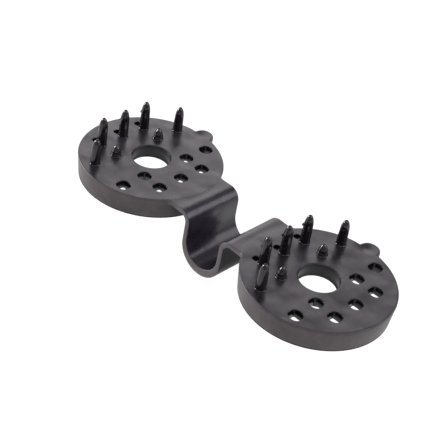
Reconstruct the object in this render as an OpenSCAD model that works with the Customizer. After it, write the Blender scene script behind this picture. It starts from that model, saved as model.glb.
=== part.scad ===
// Shade-net clip: two spiked and holed discs joined by a flexible strap with a U-shaped loop.
// Folded shut, the spikes of each disc pass through a net and into the square holes of the other disc.
// X runs from disc to disc, Y across the strap, Z up out of the spiked faces.
// The origin is on the axis of the loop's round bottom, where a rope or wire runs.

/* [Discs] */
// Diameter of each disc at its spiked face
disc_d = 35; // [32:0.5:42]
// Thickness of the plate that carries the spikes
plate_t = 2.0; // [1.6:0.1:3]
// Height of the rim, from the spiked face to its lower edge
rim_h = 5.4; // [4.4:0.1:7]
// Thickness of the rim where it joins the plate
rim_t = 1.5; // [1.2:0.1:1.6]
// How far the rim draws in from the spiked face to its lower edge
rim_draft = 0.5; // [0.1:0.1:0.8]
// Diameter of the hole through each hub
hub_bore_d = 9.2; // [6:0.1:10]
// Thickness of the hub's wall
hub_t = 1.4; // [1:0.1:2]
// Length of the hub, from the spiked face down
hub_h = 3.3; // [2.6:0.1:4]

/* [Spike and hole grid] */
// Distance from the disc's centre line to the nearer column of spikes or holes
near_column = 5.1; // [4.4:0.1:6]
// Distance between the two columns
column_pitch = 5.3; // [4.6:0.1:5.6]
// Distance from the hub's wall to the axes of the spikes nearest to it
hub_gap = 2.5; // [2.2:0.1:3]
// Space between the outermost spikes and the rim of the other disc when folded
rim_gap = 0.6; // [0.4:0.1:1.4]

/* [Spikes] */
// Diameter of a spike's stem
spike_d = 2.3; // [1.6:0.1:2.6]
// Diameter of the flared foot of each spike
foot_d = 2.8; // [2.6:0.1:3.2]
// Height of the flared foot
foot_h = 0.4; // [0.2:0.1:0.6]
// Height of the barbed spikes
barbed_h = 7.5; // [7:0.1:8.4]
// Height of the plain spikes
plain_h = 6.7; // [5.5:0.1:7.5]
// Height of the short spikes
short_h = 2.9; // [2.4:0.1:3.6]
// Length of a tall spike's pointed tip
tip_len = 3.2; // [2:0.1:4]
// Drop from a spike's tip to the point of its barb
barb_drop = 3.5; // [2.8:0.1:3.8]
// How far a barb stands out from the stem
barb_reach = 0.5; // [0.3:0.1:0.8]
// Width of a barb
barb_w = 1.0; // [0.6:0.1:1.4]

/* [Holes] */
// Space left on each side of a spike in its square hole
hole_clearance = 0.15; // [0.1:0.05:0.3]
// Width of a square hole's flared mouth
mouth_w = 3.2; // [3.2:0.1:3.8]
// Depth of the flared mouth
mouth_depth = 0.8; // [0.6:0.1:1.4]
// Width of the square hole under each barb
core_hole_w = 1.7; // [1.2:0.1:2]
// Gap between a barbed spike's stem and the square hole under its barb
core_hole_gap = 0.1; // [0.1:0.05:0.3]

/* [Pry tab] */
// Width of the tab at the disc's edge
tab_w = 5.2; // [4:0.1:7]
// How far the tab stands out from the disc
tab_reach = 2.45; // [1.2:0.05:3]
// Radius of the shallow thumb dish in the tab's upper face
dish_r = 6.0; // [5:0.5:9]
// Depth of the thumb dish
dish_depth = 0.7; // [0.2:0.1:0.8]

/* [Strap] */
// Width of the strap
strap_w = 16.5; // [12:0.5:20]
// Thickness of the strap at its flanges, shoulders and sides
strap_t = 1.2; // [0.9:0.1:1.5]
// How much thicker the strap is at the bottom of the loop
bottom_extra = 0.9; // [0.1:0.05:1.2]
// Inner width of the loop
eye_d = 9.8; // [8:0.1:11]
// Depth inside the loop, from the spiked faces to its bottom
loop_depth = 11.7; // [10:0.1:13]
// Radius of the strap's rounded shoulders
shoulder_r = 3.0; // [2:0.1:3.4]
// Gap between each disc's edge and the start of its shoulder
flange_gap = 1.6; // [1.2:0.1:8]
// Angle from straight down at which the loop's bottom bends
bottom_bend_a = 40; // [30:1:60]
// Angle round each shoulder at which the strap bends
shoulder_bend_a = 45; // [30:1:60]

/* [Hidden] */
$fn = 72;
disc_r = disc_d / 2;
eye_r = eye_d / 2;
spike_r = spike_d / 2;
hub_r = hub_bore_d / 2 + hub_t;
far_column = near_column + column_pitch;
inner_row = sqrt(pow(hub_r + hub_gap, 2) - pow(near_column, 2));
outer_row = sqrt(pow(disc_r - rim_t - rim_gap - spike_r, 2) - pow(near_column, 2));
SIDES = ["left", "right"];
// Each spike's name, kind, column and row; its twin hole mirrors it across the disc's centre line
SPIKES = [
    ["plain_spike_1", "plain", near_column, -outer_row],
    ["short_spike_1", "short", near_column, -inner_row],
    ["barbed_spike_1", "barbed", far_column, -inner_row],
    ["barbed_spike_2", "barbed", far_column, 0],
    ["barbed_spike_3", "barbed", far_column, inner_row],
    ["short_spike_2", "short", near_column, inner_row],
    ["plain_spike_2", "plain", near_column, outer_row],
];
SIDE_PIECES = concat(["plate", "rim", "hub", "pry_tab", "flange", "loop_side"], [for (s = SPIKES) s[0]]);

face_z = loop_depth - eye_r;
tip_steps = 6;
hole_w = spike_d + 2 * hole_clearance;
core_hole_offset = spike_r + core_hole_gap + core_hole_w / 2;
tab_r = (pow(tab_w / 2, 2) + pow(tab_reach, 2)) / (2 * tab_reach);
tab_h = plate_t;
shoulder_x = eye_r + shoulder_r;
shoulder_z = face_z - shoulder_r;
disc_x = shoulder_x + flange_gap + disc_r;
flange_root_x = disc_x - sqrt(pow(disc_r, 2) - pow(strap_w / 2, 2));
// How far the flange reaches under the disc's edge before it is trimmed to the disc
flange_tuck = 1;
// Extra length that carries a cut clear of a surface
cut = 1;
// Distance that takes a cutting outline past every edge of the strap
reach = 2 * eye_d;

DISC_COLOR = "#47454a";
SPIKE_COLOR = "#1f1e21";
STRAP_COLOR = "#333135";

// Radius of the disc at a depth below its spiked face
function edge_r(depth) = disc_r - rim_draft * depth / rim_h;

// The place of one disc's spiked face: side is -1 for the left disc and 1 for the right
module at_disc(side) {
    translate([side * disc_x, 0, face_z]) children();
}

// The disc's tapered outline between two depths below its spiked face
module disc_slice(from, to) {
    translate([0, 0, -to]) cylinder(h = to - from, r1 = edge_r(to), r2 = edge_r(from));
}

// A square hole with a flared mouth, cut down from the spiked face
module mating_hole() {
    flare = hole_w / mouth_w;
    translate([0, 0, -plate_t - cut]) linear_extrude(plate_t + 2 * cut) square(hole_w, center = true);
    rotate([180, 0, 0]) linear_extrude(mouth_depth, scale = flare) square(mouth_w, center = true);
}

// The shallow round dish by the pry tab, sunk into the spiked face
module thumb_dish() {
    translate([0, disc_r, dish_r - dish_depth]) sphere(r = dish_r);
}

module plate(side) {
    color(DISC_COLOR) at_disc(side) difference() {
        disc_slice(0, plate_t);
        translate([0, 0, -plate_t - cut]) cylinder(h = plate_t + 2 * cut, r = hub_r);
        for (s = SPIKES) translate([s[2], s[3], 0]) mating_hole();
        for (s = SPIKES) if (s[1] == "barbed")
            translate([-s[2] - core_hole_offset, s[3], -plate_t - cut])
                linear_extrude(plate_t + 2 * cut) square(core_hole_w, center = true);
        thumb_dish();
    }
}

module rim(side) {
    color(DISC_COLOR) at_disc(side) difference() {
        disc_slice(plate_t, rim_h);
        translate([0, 0, -rim_h - cut]) cylinder(h = rim_h + cut, r = disc_r - rim_t);
    }
}

module hub(side) {
    color(DISC_COLOR) at_disc(side) translate([0, 0, -hub_h]) difference() {
        cylinder(h = hub_h, r = hub_r);
        translate([0, 0, -cut]) cylinder(h = hub_h + 2 * cut, d = hub_bore_d);
    }
}

module pry_tab(side) {
    color(DISC_COLOR) at_disc(side) difference() {
        translate([0, disc_r + tab_reach - tab_r, -tab_h]) cylinder(h = tab_h, r = tab_r);
        disc_slice(-cut, tab_h + cut);
        thumb_dish();
    }
}

// A spike's outline: a flared foot, a straight stem and a rounded point
module spike_outline(height, tip) {
    polygon(concat(
        [[0, 0], [foot_d / 2, 0], [spike_r, foot_h]],
        [for (i = [0:tip_steps]) [spike_r * cos(90 * i / tip_steps), height - tip + tip * sin(90 * i / tip_steps)]]
    ));
}

// A barb with a sloping upper side and a sharp lower edge, on the -X side of the stem
module barb() {
    point_z = barbed_h - barb_drop;
    root_x = -spike_r / 2;
    rotate([90, 0, 0]) linear_extrude(barb_w, center = true) polygon([
        [root_x, point_z - barb_reach / 2],
        [-spike_r - barb_reach, point_z],
        [root_x, point_z + 3 * barb_reach],
    ]);
}

module spike(side, s) {
    height = s[1] == "barbed" ? barbed_h : s[1] == "plain" ? plain_h : short_h;
    tip = s[1] == "short" ? tip_len / 2 : tip_len;
    color(SPIKE_COLOR) at_disc(side) translate([-s[2], s[3], 0]) {
        rotate_extrude($fn = 32) spike_outline(height, tip);
        if (s[1] == "barbed") barb();
    }
}

// An outline in the XZ plane, as wide as the strap, mirrored for the right-hand side
module strap_piece(side) {
    color(STRAP_COLOR) mirror([side == 1 ? 1 : 0, 0, 0])
        rotate([90, 0, 0]) linear_extrude(strap_w, center = true) children();
}

// The loop's outer line filled in. Its round sits lower than the inner one, which thickens the bottom.
module loop_solid() {
    translate([0, -bottom_extra]) circle(r = eye_r + strap_t);
    translate([-eye_r - strap_t, -bottom_extra]) square([2 * (eye_r + strap_t), shoulder_z + bottom_extra]);
}

// The space inside the loop
module loop_space() {
    circle(r = eye_r);
    translate([-eye_r, 0]) square([2 * eye_r, reach]);
}

// The wedge below the loop's axis that holds its bottom, between its two bends
module bottom_wedge() {
    polygon(reach * [[0, 0], [-sin(bottom_bend_a), -cos(bottom_bend_a)], [sin(bottom_bend_a), -cos(bottom_bend_a)]]);
}

// Everything under the left shoulder and its flange, set in by a distance from their upper side
module under_shoulder(inset) {
    far_x = flange_root_x + flange_tuck;
    translate([-shoulder_x, shoulder_z]) circle(r = shoulder_r - inset);
    translate([-far_x, 0]) square([far_x - shoulder_x, face_z - inset]);
    translate([-far_x, 0]) square([far_x - eye_r - inset, shoulder_z]);
}

// The left side's strip, from the loop's axis up its side, over the shoulder and along the flange
module shoulder_strip() {
    difference() {
        under_shoulder(0);
        under_shoulder(strap_t);
    }
}

// The flange's side of the bend in the left shoulder
module flange_zone() {
    bend = [cos(shoulder_bend_a), sin(shoulder_bend_a)];
    translate([-shoulder_x, shoulder_z]) polygon(reach * [[0, 0], bend, [0, 2], [-1, 2], [-1, 0]]);
}

module flange(side) {
    difference() {
        strap_piece(side) intersection() {
            shoulder_strip();
            flange_zone();
        }
        at_disc(side) disc_slice(-cut, strap_t + cut);
    }
}

module loop_side(side) {
    strap_piece(side) difference() {
        union() {
            loop_solid();
            shoulder_strip();
        }
        loop_space();
        bottom_wedge();
        flange_zone();
        translate([0, -reach]) square(2 * reach);
    }
}

module loop_bottom() {
    strap_piece(-1) intersection() {
        difference() {
            loop_solid();
            loop_space();
        }
        bottom_wedge();
    }
}

for (k = [0, 1]) {
    side = 2 * k - 1;
    plate(side);
    rim(side);
    hub(side);
    pry_tab(side);
    flange(side);
    loop_side(side);
    for (s = SPIKES) {
        spike(side, s);
    }
}
loop_bottom();
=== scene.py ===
import math

import bpy
import bmesh
from mathutils import Matrix, Vector, geometry


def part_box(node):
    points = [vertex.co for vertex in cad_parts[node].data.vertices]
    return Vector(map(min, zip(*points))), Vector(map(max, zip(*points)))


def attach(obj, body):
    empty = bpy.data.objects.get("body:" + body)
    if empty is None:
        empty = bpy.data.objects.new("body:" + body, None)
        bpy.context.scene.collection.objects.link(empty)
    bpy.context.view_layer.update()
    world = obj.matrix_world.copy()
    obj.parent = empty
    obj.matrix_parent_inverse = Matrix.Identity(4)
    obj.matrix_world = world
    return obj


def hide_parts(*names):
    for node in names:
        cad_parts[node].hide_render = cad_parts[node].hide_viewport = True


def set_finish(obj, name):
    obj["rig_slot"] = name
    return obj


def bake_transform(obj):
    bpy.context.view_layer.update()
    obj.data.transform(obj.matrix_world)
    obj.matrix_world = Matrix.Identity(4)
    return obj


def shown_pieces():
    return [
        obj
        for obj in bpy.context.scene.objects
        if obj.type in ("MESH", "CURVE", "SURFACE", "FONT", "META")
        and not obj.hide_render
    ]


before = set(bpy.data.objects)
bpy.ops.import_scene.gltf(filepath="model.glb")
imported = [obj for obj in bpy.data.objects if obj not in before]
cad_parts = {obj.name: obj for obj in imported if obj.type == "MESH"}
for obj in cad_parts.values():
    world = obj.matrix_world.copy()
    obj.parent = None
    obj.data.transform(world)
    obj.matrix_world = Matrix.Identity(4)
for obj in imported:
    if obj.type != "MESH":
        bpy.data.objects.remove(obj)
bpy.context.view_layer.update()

# ---------------------------------------------------------------------------
# Sizes. Lengths are millimetres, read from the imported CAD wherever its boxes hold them.
# ---------------------------------------------------------------------------
MM = 0.001


def box_mm(node):
    low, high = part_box(node)
    return low / MM, high / MM


plate_low, plate_high = box_mm("left_plate")
hub_low, hub_high = box_mm("left_hub")
rim_low, rim_high = box_mm("left_rim")
tab_low, tab_high = box_mm("left_pry_tab")
bottom_low, bottom_high = box_mm("loop_bottom")

# read from the CAD
FACE_Z = plate_high.z
DISC_R = (plate_high.x - plate_low.x) / 2
DISC_X = -(plate_high.x + plate_low.x) / 2
PLATE_T = plate_high.z - plate_low.z
RIM_H = FACE_Z - rim_low.z
HUB_R = (hub_high.x - hub_low.x) / 2
HUB_H = FACE_Z - hub_low.z
TAB_REACH = tab_high.y - DISC_R
TAB_H = PLATE_T
STRAP_HALF = bottom_high.y
LOOP_BOTTOM_Z = bottom_low.z

# discs
RIM_T = 1.5
RIM_DRAFT = 0.5
BORE_R = 4.6
TAB_W = 5.2
TAB_R = ((TAB_W / 2) ** 2 + TAB_REACH ** 2) / (2 * TAB_REACH)
DISH_DEPTH = 0.525
DISH_CENTRE = (-0.8, -0.5)
DISH_REACH = (1.9, 1.5)
HOLE_W = 2.6
MOUTH_W = 3.2
MOUTH_DEPTH = 0.8
CORE_HOLE_W = 1.7
CORE_HOLE_OFFSET = 2.1

# strap
STRAP_T = 1.2
EYE_R = 4.9
SHOULDER_R = 3.0
SHOULDER_X = EYE_R + SHOULDER_R
SHOULDER_Z = FACE_Z - SHOULDER_R
BOTTOM_DROP = -LOOP_BOTTOM_Z - EYE_R - STRAP_T
SEAM_Z = 1.5

# spikes
FOOT_R = 1.4
FOOT_LIP = 0.06
FOOT_RISE = 0.26
STEM_R = 1.2
STEM_TOP_R = 1.1
BARB_Z = 4.0

# each kind of spike: length of the rounded point, scale of the stem, and the two powers that round the point
SPIKE_SHAPES = {
    "plain": (2.9, 1.0, 2.1, 0.56),
    "short": (2.2, 1.02, 1.65, 0.7),
    "barbed": (3.0, 1.0, 2.1, 0.56),
}
SPIKES = ["plain_spike_1", "short_spike_1", "barbed_spike_1", "barbed_spike_2",
          "barbed_spike_3", "short_spike_2", "plain_spike_2"]
SIDES = {"left": -1, "right": 1}


def spike_place(side, spike):
    """A spike's axis, measured from its disc's centre. A barb only widens the box towards -X."""
    low, high = box_mm(f"{side}_{spike}")
    return high.x - FOOT_R - SIDES[side] * DISC_X, (low.y + high.y) / 2


PLACES = {spike: spike_place("left", spike) for spike in SPIKES}


def smooth_step(t):
    t = min(max(t, 0.0), 1.0)
    return t * t * (3 - 2 * t)


def soft_max(a, b, k):
    """The larger of two numbers, rounded where they are closer than k."""
    h = max(k - abs(a - b), 0.0) / k
    return max(a, b) + h * h * k / 4


# ---------------------------------------------------------------------------
# Mesh building
# ---------------------------------------------------------------------------
class Shell:
    """Collects vertices and faces, in millimetres, and turns them into an object."""

    def __init__(self):
        self.points = []
        self.faces = []

    def loop(self, points):
        start = len(self.points)
        self.points.extend(Vector(p) for p in points)
        return list(range(start, len(self.points)))

    def bridge(self, a, b, closed=True):
        count = len(a)
        for i in range(count if closed else count - 1):
            j = (i + 1) % count
            self.faces.append((a[i], a[j], b[j], b[i]))

    def chain(self, loops, closed=True):
        """Adds the loops in order, joins each to the next, and returns them."""
        made = [self.loop(points) for points in loops]
        for a, b in zip(made, made[1:]):
            self.bridge(a, b, closed)
        return made

    def fan(self, ring, tip):
        end = self.loop([tip])[0]
        for i in range(len(ring)):
            self.faces.append((ring[i], ring[(i + 1) % len(ring)], end))

    def flat(self, outer, holes, extra=()):
        """Fills a level region between an outer loop and its holes with triangles."""
        spots = [self.loop([p])[0] for p in extra]
        used = outer + [i for hole in holes for i in hole] + spots
        owner = {}
        for k, ring in enumerate([outer] + holes):
            for i in ring:
                owner[i] = k
        place = {v: n for n, v in enumerate(used)}
        edges = []
        for ring in [outer] + holes:
            edges += [(place[ring[i]], place[ring[(i + 1) % len(ring)]]) for i in range(len(ring))]
        flat_points = [self.points[v].xy for v in used]
        coords, _, tris, origin, _, _ = geometry.delaunay_2d_cdt(flat_points, edges, [], 0, 1e-6)
        border = [self.points[v].xy for v in outer]
        for tri in tris:
            ids = [used[origin[n][0]] for n in tri]
            owners = {owner.get(i, -1) for i in ids}
            if len(owners) == 1 and owners != {-1}:
                if owners != {0}:
                    continue
                centre = sum((self.points[i].xy for i in ids), Vector((0, 0))) / 3
                if not inside(centre, border):
                    continue
            self.faces.append(tuple(ids))

    def to_object(self, name, place=(0, 0, 0), sharp=38.0, mirror=1):
        mesh = bpy.data.meshes.new(name)
        shift = Vector(place)
        spots = [(Vector((p.x * mirror, p.y, p.z)) + shift) * MM for p in self.points]
        mesh.from_pydata(spots, [], self.faces)
        bm = bmesh.new()
        bm.from_mesh(mesh)
        bmesh.ops.remove_doubles(bm, verts=bm.verts, dist=0.0005 * MM)
        bmesh.ops.recalc_face_normals(bm, faces=bm.faces)
        for face in bm.faces:
            face.smooth = True
        bm.to_mesh(mesh)
        bm.free()
        mesh.set_sharp_from_angle(angle=math.radians(sharp))
        made = bpy.data.objects.new(name, mesh)
        bpy.context.scene.collection.objects.link(made)
        return made


def inside(point, border):
    """Whether a point lies in a closed border."""
    hit = False
    count = len(border)
    for i in range(count):
        a, b = border[i], border[(i + 1) % count]
        if (a.y > point.y) != (b.y > point.y):
            if point.x < a.x + (point.y - a.y) * (b.x - a.x) / (b.y - a.y):
                hit = not hit
    return hit


def circle(radius, depth, count, centre=(0.0, 0.0), fall=None):
    ring = []
    for i in range(count):
        a = 2 * math.pi * i / count
        x = centre[0] + radius * math.cos(a)
        y = centre[1] + radius * math.sin(a)
        ring.append((x, y, -depth - (fall(x, y) if fall else 0.0)))
    return ring


def quarter(steps):
    """Pairs of (1 - sin, 1 - cos) that carry an edge from level to upright."""
    for k in range(steps + 1):
        a = math.pi / 2 * k / steps
        yield 1 - math.sin(a), 1 - math.cos(a)


def rounded_square(width, corner, depth, centre, arc=6, straight=3):
    ring = []
    half = width / 2
    for k in range(4):
        start = math.pi / 2 * k
        mid = start + math.pi / 4
        cx = (half - corner) * math.copysign(1, math.cos(mid))
        cy = (half - corner) * math.copysign(1, math.sin(mid))
        for n in range(arc + 1):
            a = start + math.pi / 2 * n / arc
            ring.append((cx + corner * math.cos(a), cy + corner * math.sin(a)))
        end = ring[-1]
        after = start + math.pi / 2
        nx = (half - corner) * math.copysign(1, math.cos(after + math.pi / 4)) + corner * math.cos(after)
        ny = (half - corner) * math.copysign(1, math.sin(after + math.pi / 4)) + corner * math.sin(after)
        for n in range(1, straight + 1):
            t = n / (straight + 1)
            ring.append((end[0] + (nx - end[0]) * t, end[1] + (ny - end[1]) * t))
    return [(centre[0] + x, centre[1] + y, -depth) for x, y in ring]


# ---------------------------------------------------------------------------
# One disc: plate, rim, hub and pry tab as a single moulded skin
# ---------------------------------------------------------------------------
EDGE = 0.4
STRAP_ANGLE = math.degrees(math.asin(STRAP_HALF / DISC_R))


def edge_r(depth):
    return DISC_R - RIM_DRAFT * depth / RIM_H


def disc_angles(strap_at):
    """Angles round the disc in degrees, closer together at the tab and at the strap's corners."""
    found = set()
    for k in range(180):
        found.add(2.0 * k)
    for k in range(-28, 29):
        found.add(90 + 0.5 * k)
    for sign in (-1, 1):
        for k in range(-8, 9):
            found.add(round((strap_at + sign * STRAP_ANGLE + 0.5 * k) % 360, 4))
    return sorted(found)


def tab_radius(angle):
    """How far out the tab's round reaches along a ray, or 0 where the ray misses it."""
    centre = DISC_R + TAB_REACH - TAB_R
    across = centre * math.cos(angle)
    if abs(across) >= TAB_R or math.sin(angle) <= 0:
        return 0.0
    return centre * math.sin(angle) + math.sqrt(TAB_R ** 2 - across ** 2)


def dish(x, y):
    """Depth of the soft thumb dish below the disc's face, deepest at the tab's root on its -X side."""
    across = (x - DISH_CENTRE[0]) / DISH_REACH[0]
    along = (y - DISC_R - DISH_CENTRE[1]) / DISH_REACH[1]
    away = across ** 2 + along ** 2
    return DISH_DEPTH * math.exp(-away * 1.1) if away < 5 else 0.0


def make_disc(side):
    strap_at = 0.0 if side == "left" else 180.0
    shell = Shell()
    angles = [math.radians(a) for a in disc_angles(strap_at)]
    count = len(angles)

    def outline(depth, tab):
        ring = []
        for a in angles:
            r = edge_r(depth)
            if tab:
                reach = tab_radius(a)
                if reach > 0:
                    r = soft_max(r, reach, 0.7)
            ring.append(Vector((r * math.cos(a), r * math.sin(a))))
        return ring

    def inward(ring):
        normals = []
        for i in range(count):
            along = ring[(i + 1) % count] - ring[i - 1]
            normals.append(Vector((-along.y, along.x)).normalized())
        return normals

    face_ring = outline(0.0, True)
    normals = inward(face_ring)
    bare = outline(0.0, False)
    on_tab = [smooth_step((a.length - b.length) / 0.4) for a, b in zip(face_ring, bare)]
    near_strap = []
    for a in angles:
        off = abs((math.degrees(a) - strap_at + 180) % 360 - 180)
        near_strap.append(1 - smooth_step((off - STRAP_ANGLE + 1.2) / 2.6))

    def level(depth, inset, tab=True, weights=None, drop=1.0):
        """A loop at a depth, set in from the outline; weights scale the inset at each point."""
        ring = outline(depth, tab)
        made = []
        for i, p in enumerate(ring):
            w = weights[i] if weights else 1.0
            q = p + normals[i] * inset * w
            made.append((q.x, q.y, -depth - drop * dish(q.x, q.y)))
        return made

    def edge_level(sideways, down):
        made = []
        for i in range(count):
            e = EDGE * (1 - 0.96 * near_strap[i])
            q = face_ring[i] + normals[i] * e * sideways
            made.append((q.x, q.y, -e * down - dish(q.x, q.y)))
        return made

    outer = [level(0.0, EDGE + 0.18)]
    outer += [edge_level(s, d) for s, d in quarter(6)]
    outer.append(level(0.95, 0.0, drop=0.6))
    outer.append(level(1.5, 0.0, drop=0.0))
    tab_round = 0.25
    for s, d in [(1 - c, 1 - b) for b, c in quarter(3)]:
        depth = TAB_H - tab_round + tab_round * d
        outer.append(level(depth, tab_round * s, weights=on_tab, drop=0.0))
    outer.append([(x, y, -TAB_H) for x, y, _ in level(TAB_H, 0.0, tab=False, drop=0.0)])
    for depth in (TAB_H + 0.15, 3.4, 4.4, RIM_H - 0.3):
        outer.append(level(depth, 0.0, tab=False, drop=0.0))

    def ring_at(radius, depth):
        return [(radius * math.cos(a), radius * math.sin(a), -depth) for a in angles]

    low = 0.28
    low_r = edge_r(RIM_H)
    for s, d in [(1 - c, 1 - b) for b, c in quarter(4)][1:]:
        outer.append(ring_at(low_r - low * s, RIM_H - low + low * d))
    wall_r = DISC_R - RIM_T
    lip = 0.2
    for s, d in quarter(4):
        outer.append(ring_at(wall_r + lip * s, RIM_H - lip * d))
    cove = 0.08
    outer.append(ring_at(wall_r, PLATE_T + 1.6))
    outer.append(ring_at(wall_r, PLATE_T + 0.3))
    for s, d in [(1 - c, 1 - b) for b, c in quarter(3)]:
        outer.append(ring_at(wall_r - cove * s, PLATE_T + cove - cove * d))
    made = shell.chain(outer)
    top_loop, under_loop = made[0], made[-1]

    # hub and bore, from the face down, round the lower edge, and up to the plate's underside
    top_edge = 0.42
    rings = [circle(BORE_R + top_edge + 0.2, 0.0, 96)]
    rings += [circle(BORE_R + top_edge * s, top_edge * d, 96) for s, d in quarter(6)]
    rings += [circle(BORE_R - 0.02, HUB_H / 2, 96)]
    rings += [circle(BORE_R + 0.25 * (1 - c), HUB_H - 0.25 + 0.25 * (1 - b), 96) for b, c in quarter(4)]
    rings += [circle(HUB_R - 0.25 * s, HUB_H - 0.25 * d, 96) for s, d in quarter(4)]
    rings += [circle(HUB_R + 0.4 * (1 - c), PLATE_T + 0.4 - 0.4 * (1 - b), 96) for b, c in quarter(4)]
    rings += [circle(HUB_R + 0.6, PLATE_T, 96)]
    hub = shell.chain(rings)
    top_holes, under_holes = [hub[0]], [hub[-1]]

    # square holes with flared, rounded mouths
    for spike in SPIKES:
        x, y = PLACES[spike]
        centre = (-x, y)
        lip = 0.16
        low_round = 0.05
        rings = [rounded_square(MOUTH_W + 2 * lip + 0.2, 1.62, 0.0, centre)]
        rings += [rounded_square(MOUTH_W + 2 * lip * s - 0.06 * d, 1.4 + lip * s - 0.1 * d, lip * d, centre)
                  for s, d in quarter(4)]
        for t in (0.35, 0.7, 0.94):
            w = MOUTH_W - 0.06 + (HOLE_W - MOUTH_W + 0.06) * t
            rings.append(rounded_square(w, 1.3 - 1.0 * t, lip + (MOUTH_DEPTH - lip) * t, centre))
        rings.append(rounded_square(HOLE_W, 0.3, MOUTH_DEPTH + 0.08, centre))
        rings.append(rounded_square(HOLE_W, 0.3, PLATE_T - 0.1, centre))
        rings += [rounded_square(HOLE_W + 2 * low_round * (1 - c), 0.3 + low_round * (1 - c),
                                 PLATE_T - low_round + low_round * (1 - b), centre)
                  for b, c in quarter(2)]
        rings.append(rounded_square(HOLE_W + 0.16, 0.38, PLATE_T, centre))
        hole = shell.chain(rings)
        top_holes.append(hole[0])
        under_holes.append(hole[-1])

    # the smaller square holes under the barbs, with rounder mouths
    for spike in SPIKES:
        if not spike.startswith("barbed"):
            continue
        x, y = PLACES[spike]
        centre = (x - CORE_HOLE_OFFSET, y)
        lip = 0.1
        low_round = 0.05
        rings = [rounded_square(CORE_HOLE_W + 2 * lip + 0.12, 0.85, 0.0, centre)]
        rings += [rounded_square(CORE_HOLE_W + 2 * lip * s, 0.68 + lip * s, lip * d, centre)
                  for s, d in quarter(3)]
        rings += [rounded_square(CORE_HOLE_W + 2 * low_round * (1 - c), 0.45,
                                 PLATE_T - low_round + low_round * (1 - b), centre)
                  for b, c in quarter(2)]
        rings += [rounded_square(CORE_HOLE_W + 0.2, 0.5, PLATE_T, centre)]
        hole = shell.chain(rings)
        top_holes.append(hole[0])
        under_holes.append(hole[-1])

    # points that carry the thumb dish
    border = [shell.points[i].xy for i in top_loop]
    extra = []
    step = 0.3
    for i in range(-18, 14):
        for j in range(-14, 12):
            x = step * (i + 0.5 * (j % 2))
            y = DISC_R + step * j
            if dish(x, y) == 0.0:
                continue
            point = Vector((x, y))
            if inside(point, border) and min((point - b).length for b in border) > 0.2:
                extra.append((x, y, -dish(x, y)))
    shell.flat(top_loop, top_holes, extra)
    shell.flat(under_loop, under_holes)

    made = shell.to_object(f"{side}_disc_body", (SIDES[side] * DISC_X, 0, FACE_Z), sharp=50)
    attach(made, f"{side}_disc")
    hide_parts(*(f"{side}_{part}" for part in ("plate", "rim", "hub", "pry_tab")))
    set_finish(made, "disc")


# ---------------------------------------------------------------------------
# Spikes
# ---------------------------------------------------------------------------
def stem_profile(kind, height):
    """(height, radius) pairs from just under the face up: a flared foot, a tapering stem, a rounded point."""
    point, scale, swell, blunt = SPIKE_SHAPES[kind]
    stem, stem_top = STEM_R * scale, STEM_TOP_R * scale
    lip_r = FOOT_R - 0.01
    profile = [(-0.3, FOOT_R), (0.0, FOOT_R), (FOOT_LIP, lip_r)]
    for k in range(1, 7):
        a = math.pi / 2 * k / 6
        profile.append((FOOT_LIP + FOOT_RISE * (1 - math.cos(a)), lip_r - (lip_r - stem) * math.sin(a)))
    base, top = profile[-1][0], height - point
    for k in range(1, 9):
        t = k / 8
        profile.append((base + (top - base) * t, stem + (stem_top - stem) * t * t))
    for k in range(1, 19):
        u = math.sin(math.pi / 2 * k / 18)
        profile.append((top + (height - top) * u, stem_top * (1 - u ** swell) ** blunt))
    return profile


def make_spike(side, spike):
    kind = spike.split("_")[0]
    x, y = PLACES[spike]
    height = box_mm(f"{side}_{spike}")[1].z - FACE_Z
    profile = stem_profile(kind, height)
    segments = 40
    flute_depth = 0.0 if kind == "short" else 0.02
    shell = Shell()
    rings = []
    for z, r in profile[:-1]:
        ring = []
        for i in range(segments):
            a = 2 * math.pi * i / segments
            # shallow flutes left by the mould, fading out at the foot and the tip
            fade = smooth_step((z - 0.5) / 0.8) * smooth_step((height - z) / 1.2)
            ripple = 1 - flute_depth * fade * (0.5 + 0.5 * math.cos(5 * a + 0.6))
            ring.append((r * ripple * math.cos(a), r * ripple * math.sin(a), z))
        rings.append(ring)
    made = shell.chain(rings)
    shell.fan(made[-1], (0, 0, height))
    shell.faces.append(tuple(reversed(made[0])))
    if kind == "barbed":
        barb(shell, BARB_Z)
    place = (SIDES[side] * DISC_X + x, y, FACE_Z)
    piece = shell.to_object(f"{side}_{spike}_moulded", place, sharp=42)
    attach(piece, f"{side}_disc")
    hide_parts(f"{side}_{spike}")
    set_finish(piece, "spikes")


def barb(shell, point_z):
    """A small hooked tooth on the -X side: sloping above, sharp and undercut below."""
    outline = [(0.45, -0.3), (1.0, -0.26), (1.25, -0.18), (1.5, -0.08), (1.58, 0.0),
               (1.54, 0.12), (1.38, 0.42), (1.2, 0.75), (1.0, 1.05), (0.45, 1.3)]
    outline = [(x, point_z + z) for x, z in outline]
    cx = sum(p[0] for p in outline) / len(outline)
    cz = sum(p[1] for p in outline) / len(outline)
    half = ((0.42, 0.12), (0.37, 0.04), (0.25, 0.0))
    slices = [(-v, shrink) for v, shrink in half] + [(0.0, -0.02)] + list(reversed(half))
    layers = []
    for v, shrink in slices:
        layers.append([(-(px + (cx - px) * shrink), v, pz + (cz - pz) * shrink) for px, pz in outline])
    made = shell.chain(layers)
    shell.faces.append(tuple(made[0]))
    shell.faces.append(tuple(reversed(made[-1])))


# ---------------------------------------------------------------------------
# Strap: a moulded strip from the loop's bottom over each shoulder to its disc
# ---------------------------------------------------------------------------
ROUND = 0.24


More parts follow.
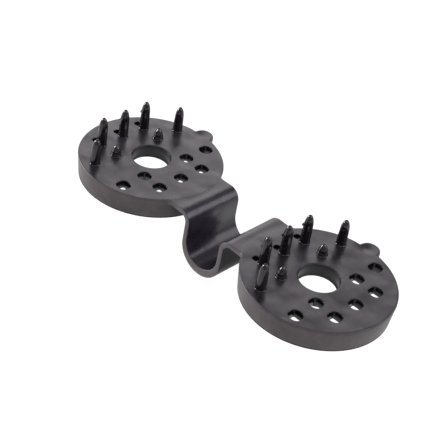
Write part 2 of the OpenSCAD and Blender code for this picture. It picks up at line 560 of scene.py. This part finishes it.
def section(thickness, half):
    """The strip's cross-section as (height in the thickness, sideways) pairs, with rounded edges."""
    cells = 10
    flat = [-(half - ROUND - 0.1) + 2 * (half - ROUND - 0.1) * k / cells for k in range(cells + 1)]
    flat = [-(half - ROUND)] + flat + [half - ROUND]
    ring = [(0.0, v) for v in flat]
    for k in range(1, 5):
        a = math.pi / 2 * k / 4
        ring.append((ROUND - ROUND * math.cos(a), half - ROUND + ROUND * math.sin(a)))
    for k in range(0, 4):
        a = math.pi / 2 * k / 4
        ring.append((thickness - ROUND + ROUND * math.sin(a), half - ROUND + ROUND * math.cos(a)))
    ring += [(thickness, v) for v in reversed(flat)]
    for k in range(1, 5):
        a = math.pi / 2 * k / 4
        ring.append((thickness - ROUND + ROUND * math.cos(a), -(half - ROUND) - ROUND * math.sin(a)))
    for k in range(0, 4):
        a = math.pi / 2 * k / 4
        ring.append((ROUND - ROUND * math.sin(a), -(half - ROUND) - ROUND * math.cos(a)))
    return ring


def strip(name, stations, side, nodes):
    """Joins stations into a closed piece: each is an upper and a lower point, a half width and a warp of x."""
    shell = Shell()
    rings = []
    for upper, lower, half, warp in stations:
        up, low = Vector(upper), Vector(lower)
        thick = (up - low).length
        along = (up - low) / thick
        ring = []
        for h, v in section(thick, half):
            p = low + along * h
            x = warp(v, p.x) if warp else p.x
            ring.append((x, v, p.y))
        rings.append(ring)
    made = shell.chain(rings)
    shell.faces.append(tuple(made[0]))
    shell.faces.append(tuple(reversed(made[-1])))
    piece = shell.to_object(name, sharp=60, mirror=-SIDES[side])
    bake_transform(piece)
    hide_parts(*nodes)
    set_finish(piece, "strap")


def arc_points(first, last, step):
    """Angles from first to last in degrees, with one hair's breadth step at the start."""
    count = max(1, round(abs(last - first) / step))
    found = [first + (last - first) * k / count for k in range(count + 1)]
    return [found[0], found[0] + 0.1 * (1 if last > first else -1)] + found[1:]


def make_strap(side):
    """Written for the left side, whose x is negative; the right side is its mirror image."""
    half = STRAP_HALF
    lower = []
    for deg in arc_points(0, 90, 3):
        a = math.radians(deg)
        inner = (-EYE_R * math.sin(a), -EYE_R * math.cos(a))
        out_r = EYE_R + STRAP_T
        outer = (-out_r * math.sin(a), -BOTTOM_DROP - out_r * math.cos(a))
        lower.append((inner, outer, half, None))
    for k in range(1, 5):
        t = k / 4
        low_z = -BOTTOM_DROP + (SEAM_Z + BOTTOM_DROP) * t
        lower.append(((-EYE_R, SEAM_Z * t), (-EYE_R - STRAP_T, low_z), half, None))
    strip(f"{side}_loop_strip", lower, side,
          ["loop_bottom", f"{side}_loop_side"])

    upper = []
    for k in range(5):
        z = SEAM_Z + (SHOULDER_Z - SEAM_Z) * k / 4
        upper.append(((-EYE_R, z), (-EYE_R - STRAP_T, z), half, None))
    for deg in arc_points(0, 90, 4)[2:]:
        a = math.radians(deg)
        big, small = SHOULDER_R, SHOULDER_R - STRAP_T
        upper.append(((-SHOULDER_X + big * math.cos(a), SHOULDER_Z + big * math.sin(a)),
                      (-SHOULDER_X + small * math.cos(a), SHOULDER_Z + small * math.sin(a)), half, None))
    tuck = DISC_R - 0.35
    for k in range(1, 15):
        t = k / 14
        flare = 0.5 * smooth_step((t - 0.72) / 0.28) ** 2

        def warp(v, _, t=t):
            end = DISC_X - math.sqrt(tuck ** 2 - v * v)
            return -(SHOULDER_X + (end - SHOULDER_X) * t)

        fall = 0.015 + 0.05 * math.sin(math.pi * t) ** 2
        low_z = FACE_Z - STRAP_T - 0.3 * fall
        upper.append(((-SHOULDER_X, FACE_Z - fall), (-SHOULDER_X, low_z), half + flare, warp))
    strip(f"{side}_shoulder_strip", upper, side,
          [f"{side}_flange", f"{side}_loop_side"])


# ---------------------------------------------------------------------------
# Materials: moulded black polypropylene; the rim wall and strap edges are painted lighter and the holes, bore
# and strap underside painted darker, as light and shade
# ---------------------------------------------------------------------------
def plastic(name, dark, light, rough, spread, grain, bump, patch=3.0, specular=0.5, wave=0.0):
    """Two near-black tones in soft patches, a mottled sheen, a fine grain and a slow waviness, in mm."""
    material = bpy.data.materials.new(name)
    material.use_nodes = True
    tree = material.node_tree
    nodes, links = tree.nodes, tree.links
    shader = nodes["Principled BSDF"]
    shader.inputs["Specular IOR Level"].default_value = specular
    shader.inputs["IOR"].default_value = 1.5
    where = nodes.new("ShaderNodeTexCoord")

    def noise(scale_mm, detail, roughness=0.5, distortion=0.0):
        made = nodes.new("ShaderNodeTexNoise")
        made.inputs["Scale"].default_value = 1 / (scale_mm * MM)
        made.inputs["Detail"].default_value = detail
        made.inputs["Roughness"].default_value = roughness
        made.inputs["Distortion"].default_value = distortion
        links.new(where.outputs["Object"], made.inputs["Vector"])
        return made

    def remap(source, low, high, start=0.3, stop=0.7):
        made = nodes.new("ShaderNodeMapRange")
        made.inputs["From Min"].default_value = start
        made.inputs["From Max"].default_value = stop
        made.inputs["To Min"].default_value = low
        made.inputs["To Max"].default_value = high
        links.new(source, made.inputs["Value"])
        return made.outputs["Result"]

    clouds = noise(patch, 4, 0.55, 0.4)
    ramp = nodes.new("ShaderNodeValToRGB")
    ramp.color_ramp.elements[0].position = 0.32
    ramp.color_ramp.elements[0].color = (*dark, 1)
    ramp.color_ramp.elements[1].position = 0.72
    ramp.color_ramp.elements[1].color = (*light, 1)
    links.new(clouds.outputs["Fac"], ramp.inputs["Fac"])
    dust = noise(0.35, 2, 0.6)
    speck = nodes.new("ShaderNodeMix")
    speck.data_type = "RGBA"
    speck.blend_type = "MIX"
    links.new(remap(dust.outputs["Fac"], 0.0, 0.12, 0.55, 0.8), speck.inputs["Factor"])
    links.new(ramp.outputs["Color"], speck.inputs["A"])
    speck.inputs["B"].default_value = tuple(min(1.0, c * 3) for c in light) + (1,)
    links.new(speck.outputs["Result"], shader.inputs["Base Color"])

    sheen_patch = noise(patch * 0.6, 5, 0.6)
    sheen = remap(sheen_patch.outputs["Fac"], rough - spread, rough + spread)
    links.new(sheen, shader.inputs["Roughness"])

    # fine grain, coarser grain, then the slow waviness of a moulded face
    normal = None
    for pattern, height in ((noise(grain, 3, 0.65), bump),
                            (noise(grain * 9, 2, 0.5), bump * 5),
                            (noise(7.0, 1, 0.4, 0.3), wave)):
        relief = nodes.new("ShaderNodeBump")
        relief.inputs["Strength"].default_value = 1.0
        relief.inputs["Distance"].default_value = height * MM
        links.new(pattern.outputs["Fac"], relief.inputs["Height"])
        if normal is not None:
            links.new(normal, relief.inputs["Normal"])
        normal = relief.outputs["Normal"]
    links.new(normal, shader.inputs["Normal"])
    return material


disc_plastic = plastic(
    "disc_plastic", dark=(0.004, 0.0034, 0.0052), light=(0.025, 0.0210, 0.0290),
    rough=0.33, spread=0.08, grain=0.2, bump=0.0012, patch=6.0, specular=0.4, wave=0.6)
# rim wall and outer edge: base colour painted lighter than the face's, standing in for light that falls on the
# upright wall from the floor and lamps
rim_wall_painted_light = plastic(
    "rim_wall_painted_light", dark=(0.030, 0.024, 0.027), light=(0.058, 0.049, 0.052),
    rough=0.48, spread=0.06, grain=0.2, bump=0.003, patch=5.0, specular=0.4, wave=0.1)
# hole and core-hole walls: painted shade, a near-black base colour and low specular so the holes read dark
# inside
hole_painted_shade = plastic(
    "hole_painted_shade", dark=(0.002, 0.002, 0.003), light=(0.004, 0.004, 0.005),
    rough=0.24, spread=0.05, grain=0.3, bump=0.001, patch=2.0, specular=0.22)
spike_plastic = plastic(
    "spike_plastic", dark=(0.0040, 0.0030, 0.0040), light=(0.0095, 0.0070, 0.0090),
    rough=0.12, spread=0.04, grain=0.4, bump=0.0004, patch=1.6, specular=0.5)
strap_plastic = plastic(
    "strap_plastic", dark=(0.008, 0.007, 0.011), light=(0.020, 0.017, 0.026),
    rough=0.27, spread=0.05, grain=0.25, bump=0.0014, patch=5.0, specular=0.42, wave=0.25)
# strap side edges: base colour painted lighter than the strap's top, standing in for light falling on the
# edges
strap_edge_painted_light = plastic(
    "strap_edge_painted_light", dark=(0.050, 0.044, 0.048), light=(0.080, 0.071, 0.076),
    rough=0.45, spread=0.06, grain=0.2, bump=0.002, patch=4.0, specular=0.4)
# strap underside and outer walls: painted shade, a near-black base colour and very low specular standing in
# for the shadow under the strap
strap_underside_painted_shade = plastic(
    "strap_underside_painted_shade", dark=(0.002, 0.002, 0.003), light=(0.006, 0.005, 0.007),
    rough=0.42, spread=0.06, grain=0.25, bump=0.002, patch=4.0, specular=0.08)
# hub bore: painted shade, a darker base colour and lower specular than the face
bore_painted_shade = plastic(
    "bore_painted_shade", dark=(0.005, 0.004, 0.006), light=(0.011, 0.010, 0.013),
    rough=0.35, spread=0.05, grain=0.25, bump=0.0015, patch=3.0, specular=0.25)

for side in SIDES:
    make_disc(side)
    make_strap(side)
    for spike in SPIKES:
        make_spike(side, spike)


def strap_depth(x, z):
    """How far a point of the strap lies below its upper surface."""
    x = abs(x)
    if z < 0:
        return math.hypot(x, z) - EYE_R
    if z < SHOULDER_Z:
        return x - EYE_R
    if x < SHOULDER_X:
        return SHOULDER_R - math.hypot(x - SHOULDER_X, z - SHOULDER_Z)
    return FACE_Z - z


def disc_material_index(out, deep, upright):
    """Index of a disc face's material from its distance from the axis and its depth, in millimetres: the face,
    the rim wall painted lighter, hole walls painted darker as shade, or the bore painted darker as shade.
    """
    if out > DISC_R - 0.75 and upright < 0.93 and deep > 0.02:
        return 1
    if HUB_R + 0.3 < out < DISC_R - RIM_T - 0.1 and 0.12 < deep < PLATE_T - 0.02 and upright < 0.95:
        return 2
    if out < BORE_R + 0.12 and deep > 0.15:
        return 3
    return 0


def strap_material_index(x, z, sideways):
    """Index of a strap face's material: upper surface, side edge painted lighter, or underside painted darker
    as shade.
    """
    if sideways > 0.5:
        return 1
    return 2 if strap_depth(x, z) > 0.5 else 0


# each slot's materials in order. A disc: face, rim wall painted lighter, holes painted darker as shade, bore
# painted darker as shade. The strap: top, edges painted lighter, underside painted darker as shade.
SLOT_MATERIALS = {
    "disc": [disc_plastic, rim_wall_painted_light, hole_painted_shade, bore_painted_shade],
    "spikes": [spike_plastic],
    "strap": [strap_plastic, strap_edge_painted_light, strap_underside_painted_shade],
}
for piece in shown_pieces():
    slot = piece["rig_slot"]
    piece.data.materials.clear()
    for finish in SLOT_MATERIALS[slot]:
        piece.data.materials.append(finish)
    if slot == "disc":
        centre = Vector((math.copysign(DISC_X, sum(v.co.x for v in piece.data.vertices)), 0)) * MM
    for face in piece.data.polygons:
        if slot == "disc":
            out = (face.center.xy - centre).length / MM
            face.material_index = disc_material_index(out, FACE_Z - face.center.z / MM, abs(face.normal.z))
        elif slot == "strap":
            face.material_index = strap_material_index(face.center.x / MM, face.center.z / MM, abs(face.normal.y))

# ---------------------------------------------------------------------------
# Floor, light and camera
# ---------------------------------------------------------------------------
FLOOR_REACH = 2500.0
FLOOR_CELLS = 8
marks = [-FLOOR_REACH + 2 * FLOOR_REACH * i / FLOOR_CELLS for i in range(FLOOR_CELLS + 1)]
floor_shell = Shell()
grid = [[(x, y, 0) for x in marks] for y in marks]
floor_shell.chain(grid, closed=False)
floor = floor_shell.to_object("studio_floor", (0, 0, LOOP_BOTTOM_Z - 0.02))
paper = bpy.data.materials.new("floor_paper")
paper.use_nodes = True
paper_shader = paper.node_tree.nodes["Principled BSDF"]
paper_shader.inputs["Base Color"].default_value = (0.1, 0.1, 0.1, 1)
paper_shader.inputs["Roughness"].default_value = 0.9
paper_shader.inputs["Emission Color"].default_value = (1, 1, 1, 1)
paper_shader.inputs["Emission Strength"].default_value = 1.0
floor.data.materials.append(paper)

world = bpy.data.worlds.new("studio")
world.use_nodes = True
world.node_tree.nodes["Background"].inputs["Color"].default_value = (0.99, 0.93, 1.0, 1)
world.node_tree.nodes["Background"].inputs["Strength"].default_value = 0.55
bpy.context.scene.world = world
bpy.context.scene.view_settings.view_transform = "Standard"


def softbox(name, place, size, power, tint=(1, 1, 1)):
    """A rectangular lamp that faces the origin; its place and size are in metres."""
    lamp = bpy.data.lights.new(name, "AREA")
    lamp.shape = "RECTANGLE"
    lamp.size, lamp.size_y = size
    lamp.energy = power
    lamp.color = tint
    made = bpy.data.objects.new(name, lamp)
    bpy.context.scene.collection.objects.link(made)
    made.location = place
    made.rotation_euler = (-Vector(place)).to_track_quat("-Z", "Y").to_euler()


softbox("back_left_softbox", (-0.42, 0.43, 0.33), (0.5, 0.5), 1.5, tint=(1.0, 0.95, 0.97))
softbox("back_right_softbox", (0.42, 0.42, 0.36), (0.4, 0.4), 1.6, tint=(0.95, 0.94, 1.0))
softbox("left_softbox", (-0.5, -0.22, 0.1), (0.22, 0.12), 2.8, tint=(1.0, 0.94, 0.95))
softbox("upper_left_softbox", (-0.5, -0.45, 0.38), (0.12, 0.2), 0.8, tint=(1.0, 0.96, 0.96))
softbox("right_softbox", (0.62, 0.1, 0.4), (0.14, 0.24), 1.0, tint=(0.97, 0.96, 1.0))
softbox("front_softbox", (0.22, -0.28, 0.5), (0.45, 0.3), 0.5)

AZIMUTH, ELEVATION, ROLL = (math.radians(a) for a in (38.99, 36.34, 10.55))
TARGET = Vector((-1.77, -3.41, FACE_Z)) * MM
DISTANCE = 259.4 * MM
level_back = Vector((math.sin(AZIMUTH), -math.cos(AZIMUTH), 0))
level_right = Vector((math.cos(AZIMUTH), math.sin(AZIMUTH), 0))
back = level_back * math.cos(ELEVATION) + Vector((0, 0, math.sin(ELEVATION)))
level_up = back.cross(level_right)
right = level_right * math.cos(ROLL) + level_up * math.sin(ROLL)
up = level_up * math.cos(ROLL) - level_right * math.sin(ROLL)
lens = bpy.data.cameras.new("camera")
lens.sensor_width = 36
lens.lens = 96.2
lens.clip_start = 0.01
camera = bpy.data.objects.new("camera", lens)
bpy.context.scene.collection.objects.link(camera)
turn = Matrix((right, up, back)).transposed().to_4x4()
camera.matrix_world = Matrix.Translation(TARGET + back * DISTANCE) @ turn
bpy.context.scene.camera = camera
